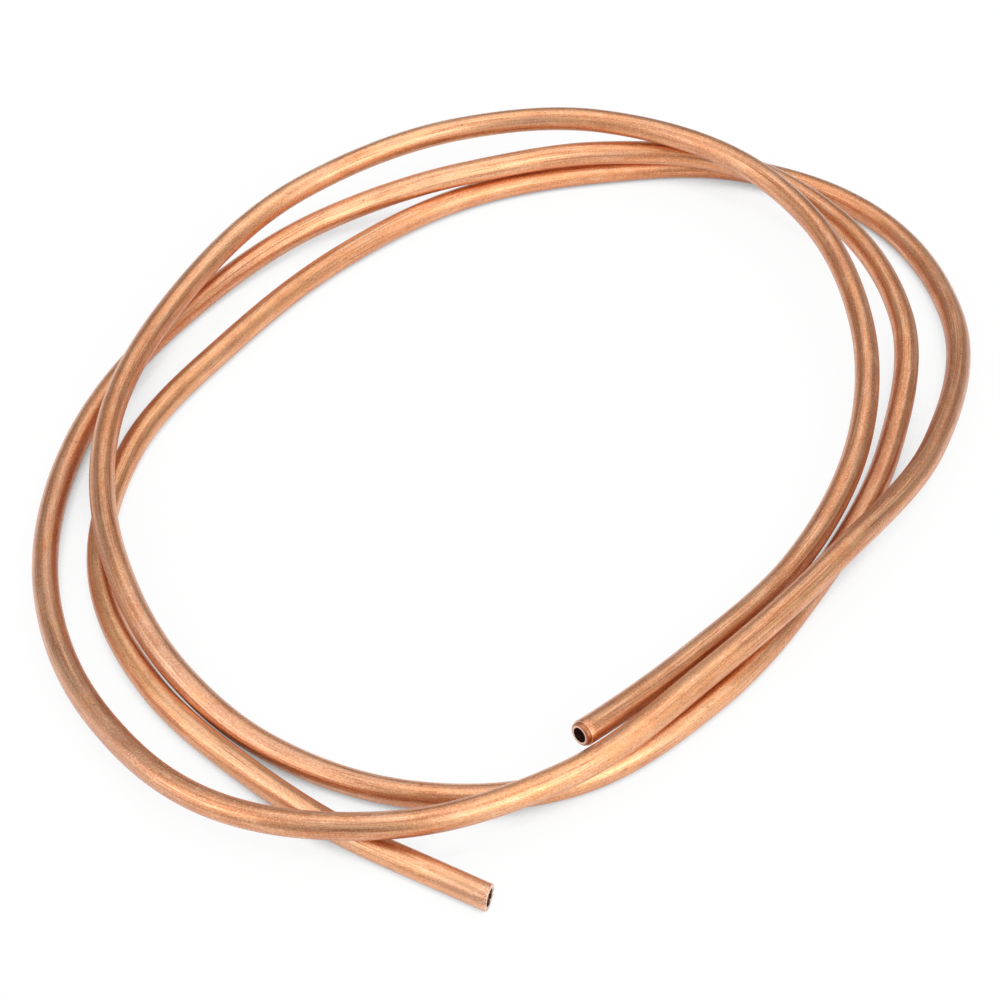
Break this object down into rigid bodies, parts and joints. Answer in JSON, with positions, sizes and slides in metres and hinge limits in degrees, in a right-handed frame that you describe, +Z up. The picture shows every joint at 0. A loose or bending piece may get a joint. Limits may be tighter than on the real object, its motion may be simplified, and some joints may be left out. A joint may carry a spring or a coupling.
{
  "type": "coil of copper tube",
  "caption": "Loose hand-bent coil of soft copper tube with a wide open eye; its free cut end takes a compression or flare fitting",
  "frame": {"origin": "middle of the coil's box, on the floor it lies on", "axes": "+Z up from the floor; +X along the coil's long side, away from the two cut ends; +Y across the coil, away from the front strands"},
  "size_m": [0.2556, 0.1892, 0.0189],
  "materials": {
    "copper": "satin drawn copper with fine lengthwise lines and faint tarnish"
  },
  "bodies": {
    "root": {"copper_tube": "copper"}
  },
  "joints": []
}
